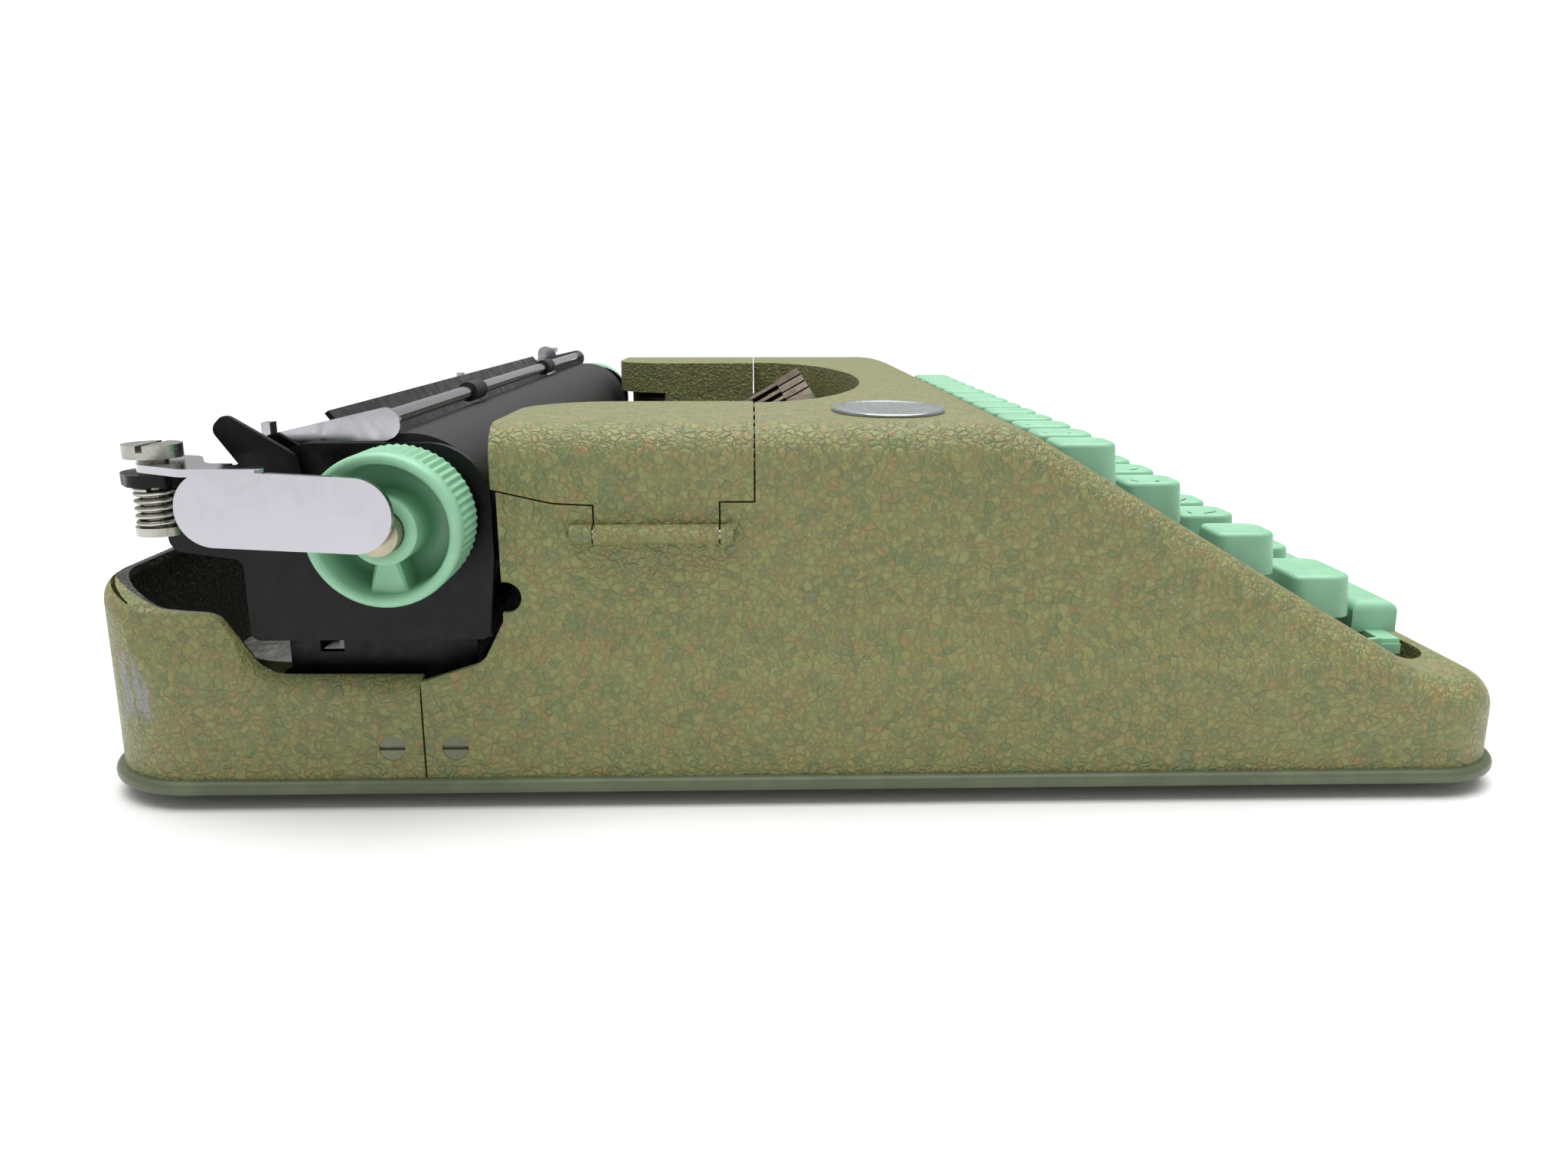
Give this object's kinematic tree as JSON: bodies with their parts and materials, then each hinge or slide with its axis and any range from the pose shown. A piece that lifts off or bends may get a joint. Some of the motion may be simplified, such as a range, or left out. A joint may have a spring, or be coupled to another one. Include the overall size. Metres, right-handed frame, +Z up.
{
  "type": "manual typewriter",
  "caption": "Ultra-portable manual typewriter with wrinkle-painted steel shells, mint keys, sliding carriage, platen, hinged ribbon covers and a folding return lever.",
  "frame": {"origin": "on the table under the middle of the machine", "axes": "+X to the typist's right, -Y towards the typist, +Z up"},
  "size_m": [0.3145, 0.2936, 0.0811],
  "materials": {
    "case_paint": "olive green wrinkle paint",
    "rubber": "matt black rubber",
    "plate_silver": "satin blank badge",
    "screw_steel": "slotted steel screws",
    "chassis_black": "black enamel, semi-gloss",
    "bare_steel": "plated steel",
    "bell_metal": "plated bell",
    "ribbon_cloth": "inked cloth",
    "platen_rubber": "hard black rubber",
    "key_plastic": "mint green moulded plastic",
    "chrome": "bright chrome plate",
    "lever_paint": "grey green enamel"
  },
  "bodies": {
    "chassis": {"base_plate": "case_paint", "rubber_feet": "rubber", "front_shell": "case_paint", "rear_shell": "case_paint", "name_plate": "plate_silver", "shell_screws": "screw_steel", "cover_hinge_pins": "screw_steel", "main_frame": "chassis_black", "bell": "bell_metal", "typebars": "bare_steel", "type_segment": "bare_steel", "key_lever_comb": "chassis_black", "key_lever_shaft": "bare_steel", "ribbon": "ribbon_cloth", "line_gauge": "bare_steel"},
    "shift_frame": {"carriage_rails": "chassis_black"},
    "carriage": {"carriage_frame": "chassis_black", "carriage_end_left": "chassis_black", "carriage_end_right": "chassis_black", "paper_table": "chassis_black", "margin_rail": "bare_steel", "lever_pivot_screw": "screw_steel", "lever_spring": "chrome"},
    "platen": {"platen_roller": "platen_rubber", "platen_shaft": "bare_steel", "platen_knobs": "key_plastic", "ratchet_wheel": "bare_steel"},
    "front_feed_roller": {"feed_roller_front": "platen_rubber"},
    "rear_feed_roller": {"feed_roller_rear": "platen_rubber"},
    "return_lever": {"return_lever": "chrome"},
    "paper_bail": {"paper_bail": "chrome", "bail_rollers": "platen_rubber"},
    "paper_release": {"paper_release_lever": "chrome"},
    "line_space": {"line_space_lever": "lever_paint"},
    "left_margin_stop": {"margin_stop_left": "chrome"},
    "right_margin_stop": {"margin_stop_right": "chrome"},
    "carriage_release": {"carriage_release_lever": "chrome"},
    "left_cover": {"ribbon_cover_left": "case_paint"},
    "right_cover": {"ribbon_cover_right": "case_paint"},
    "left_spool": {"ribbon_spool_left": "bare_steel"},
    "right_spool": {"ribbon_spool_right": "bare_steel"},
    "vibrator": {"ribbon_vibrator": "bare_steel"},
    "mainspring": {"mainspring_drum": "bare_steel"},
    "escapement": {"escapement_wheel": "bare_steel"},
    "typebar": {"moving_typebar": "bare_steel"},
    "typing_key": {"typing_key": "key_plastic"},
    "space_bar": {"space_bar": "key_plastic"},
    "left_shift": {"shift_key_left": "key_plastic"},
    "right_shift": {"shift_key_right": "key_plastic"},
    "shift_lock": {"shift_lock_key": "key_plastic"},
    "backspace": {"backspace_key": "key_plastic"},
    "margin_release": {"margin_release_key": "key_plastic"},
    "number_row": {"number_row_keys": "key_plastic", "number_row_levers": "bare_steel"},
    "upper_row": {"upper_row_keys": "key_plastic", "upper_row_levers": "bare_steel"},
    "home_row": {"home_row_keys": "key_plastic", "home_row_levers": "bare_steel"},
    "lower_row": {"lower_row_keys": "key_plastic", "lower_row_levers": "bare_steel"}
  },
  "joints": [
    {"name": "shift_lift", "type": "slide", "parent": "chassis", "child": "shift_frame", "axis": [0, 0.5446, 0.8387], "range_m": [0, 0.0065]},
    {"name": "carriage_slide", "type": "slide", "parent": "shift_frame", "child": "carriage", "axis": [1, 0, 0], "range_m": [-0.1, 0.1]},
    {"name": "platen_turn", "type": "hinge", "parent": "carriage", "child": "platen", "pos_m": [0, 0.079, 0.059], "axis": [1, 0, 0], "continuous": true},
    {"name": "front_feed_turn", "type": "hinge", "parent": "carriage", "child": "front_feed_roller", "pos_m": [0, 0.069, 0.04168], "axis": [1, 0, 0], "continuous": true},
    {"name": "rear_feed_turn", "type": "hinge", "parent": "carriage", "child": "rear_feed_roller", "pos_m": [0, 0.089, 0.04168], "axis": [1, 0, 0], "continuous": true},
    {"name": "return_lever_swing", "type": "hinge", "parent": "carriage", "child": "return_lever", "pos_m": [-0.145, 0.1215, 0.0705], "axis": [0, 0, -1], "range_deg": [0, 60]},
    {"name": "paper_bail_lift", "type": "hinge", "parent": "carriage", "child": "paper_bail", "pos_m": [0, 0.104, 0.07], "axis": [-1, 0, 0], "range_deg": [0, 70]},
    {"name": "paper_release_pull", "type": "hinge", "parent": "carriage", "child": "paper_release", "pos_m": [0.135, 0.096, 0.066], "axis": [1, 0, 0], "range_deg": [0, 18], "stiffness_Nm_per_rad": 0.01, "springref_deg": -5.73},
    {"name": "line_space_select", "type": "hinge", "parent": "carriage", "child": "line_space", "pos_m": [-0.135, 0.1, 0.062], "axis": [1, 0, 0], "range_deg": [0, 20]},
    {"name": "carriage_release_press", "type": "hinge", "parent": "carriage", "child": "carriage_release", "pos_m": [0.135, 0.12, 0.06], "axis": [-1, 0, 0], "range_deg": [0, 12], "stiffness_Nm_per_rad": 0.01, "springref_deg": -5.73},
    {"name": "left_margin_slide", "type": "slide", "parent": "carriage", "child": "left_margin_stop", "axis": [1, 0, 0], "range_m": [-0.02, 0.08]},
    {"name": "right_margin_slide", "type": "slide", "parent": "carriage", "child": "right_margin_stop", "axis": [1, 0, 0], "range_m": [-0.08, 0.02]},
    {"name": "left_cover_open", "type": "hinge", "parent": "chassis", "child": "left_cover", "pos_m": [-0.1383, 0.03, 0.0556], "axis": [0, -1, 0], "range_deg": [0, 95]},
    {"name": "right_cover_open", "type": "hinge", "parent": "chassis", "child": "right_cover", "pos_m": [0.1383, 0.03, 0.0556], "axis": [0, 1, 0], "range_deg": [0, 95]},
    {"name": "left_spool_turn", "type": "hinge", "parent": "chassis", "child": "left_spool", "pos_m": [-0.112, 0.037, 0.055], "axis": [0, 0, 1], "continuous": true},
    {"name": "right_spool_turn", "type": "hinge", "parent": "chassis", "child": "right_spool", "pos_m": [0.112, 0.037, 0.055], "axis": [0, 0, 1], "continuous": true},
    {"name": "vibrator_lift", "type": "slide", "parent": "chassis", "child": "vibrator", "axis": [0, 0, 1], "range_m": [0, 0.008]},
    {"name": "mainspring_turn", "type": "hinge", "parent": "chassis", "child": "mainspring", "pos_m": [-0.092, 0.112, 0.015], "axis": [0, 0, 1], "range_deg": [-310, 310]},
    {"name": "escapement_turn", "type": "hinge", "parent": "chassis", "child": "escapement", "pos_m": [0, 0.0975, 0.0176], "axis": [0, 1, 0], "range_deg": [-430, 430]},
    {"name": "typebar_swing", "type": "hinge", "parent": "chassis", "child": "typebar", "pos_m": [0, 0.03256, 0.02238], "axis": [-1, 0, 0], "range_deg": [0, 98], "stiffness_Nm_per_rad": 0.002, "springref_deg": -34.38},
    {"name": "number_row_press", "type": "hinge", "parent": "chassis", "child": "number_row", "pos_m": [0, 0.07, 0.0115], "axis": [1, 0, 0], "range_deg": [0, 3.1], "stiffness_Nm_per_rad": 1.2, "springref_deg": -8.59},
    {"name": "upper_row_press", "type": "hinge", "parent": "chassis", "child": "upper_row", "pos_m": [0, 0.07, 0.0115], "axis": [1, 0, 0], "range_deg": [0, 2.72], "stiffness_Nm_per_rad": 1.2, "springref_deg": -8.59},
    {"name": "home_row_press", "type": "hinge", "parent": "chassis", "child": "home_row", "pos_m": [0, 0.07, 0.0115], "axis": [1, 0, 0], "range_deg": [0, 2.43], "stiffness_Nm_per_rad": 1.2, "springref_deg": -8.59},
    {"name": "lower_row_press", "type": "hinge", "parent": "chassis", "child": "lower_row", "pos_m": [0, 0.07, 0.0115], "axis": [1, 0, 0], "range_deg": [0, 2.19], "stiffness_Nm_per_rad": 1.2, "springref_deg": -8.59},
    {"name": "typing_key_press", "type": "hinge", "parent": "chassis", "child": "typing_key", "pos_m": [0, 0.07, 0.0115], "axis": [1, 0, 0], "range_deg": [0, 2.44]},
    {"name": "space_bar_press", "type": "hinge", "parent": "chassis", "child": "space_bar", "pos_m": [0, 0.07, 0.0115], "axis": [1, 0, 0], "range_deg": [0, 1.8], "stiffness_Nm_per_rad": 0.6, "springref_deg": -8.59},
    {"name": "left_shift_press", "type": "hinge", "parent": "chassis", "child": "left_shift", "pos_m": [0, 0.07, 0.0115], "axis": [1, 0, 0], "range_deg": [0, 1.89]},
    {"name": "right_shift_press", "type": "hinge", "parent": "chassis", "child": "right_shift", "pos_m": [0, 0.07, 0.0115], "axis": [1, 0, 0], "range_deg": [0, 1.89]},
    {"name": "shift_lock_press", "type": "hinge", "parent": "chassis", "child": "shift_lock", "pos_m": [0, 0.07, 0.0115], "axis": [1, 0, 0], "range_deg": [0, 2.2], "stiffness_Nm_per_rad": 0.2, "springref_deg": -8.59},
    {"name": "backspace_press", "type": "hinge", "parent": "chassis", "child": "backspace", "pos_m": [0, 0.07, 0.0115], "axis": [1, 0, 0], "range_deg": [0, 2.2], "stiffness_Nm_per_rad": 0.2, "springref_deg": -8.59},
    {"name": "margin_release_press", "type": "hinge", "parent": "chassis", "child": "margin_release", "pos_m": [0, 0.07, 0.0115], "axis": [1, 0, 0], "range_deg": [0, 2.2], "stiffness_Nm_per_rad": 0.2, "springref_deg": -8.59}
  ],
  "couplings": [
    {"joint": "front_feed_turn", "follows": "platen_turn", "ratio": -3.6905},
    {"joint": "rear_feed_turn", "follows": "platen_turn", "ratio": -3.6905},
    {"joint": "mainspring_turn", "follows": "carriage_slide", "rad_per_m": 52.6},
    {"joint": "escapement_turn", "follows": "carriage_slide", "rad_per_m": 73.5},
    {"joint": "right_spool_turn", "follows": "left_spool_turn", "ratio": 1},
    {"joint": "typing_key_press", "follows": "typebar_swing", "ratio": 0.0248},
    {"joint": "vibrator_lift", "follows": "typebar_swing", "m_per_rad": 0.004619},
    {"joint": "left_shift_press", "follows": "shift_lift", "rad_per_m": 5.048},
    {"joint": "right_shift_press", "follows": "shift_lift", "rad_per_m": 5.048}
  ]
}
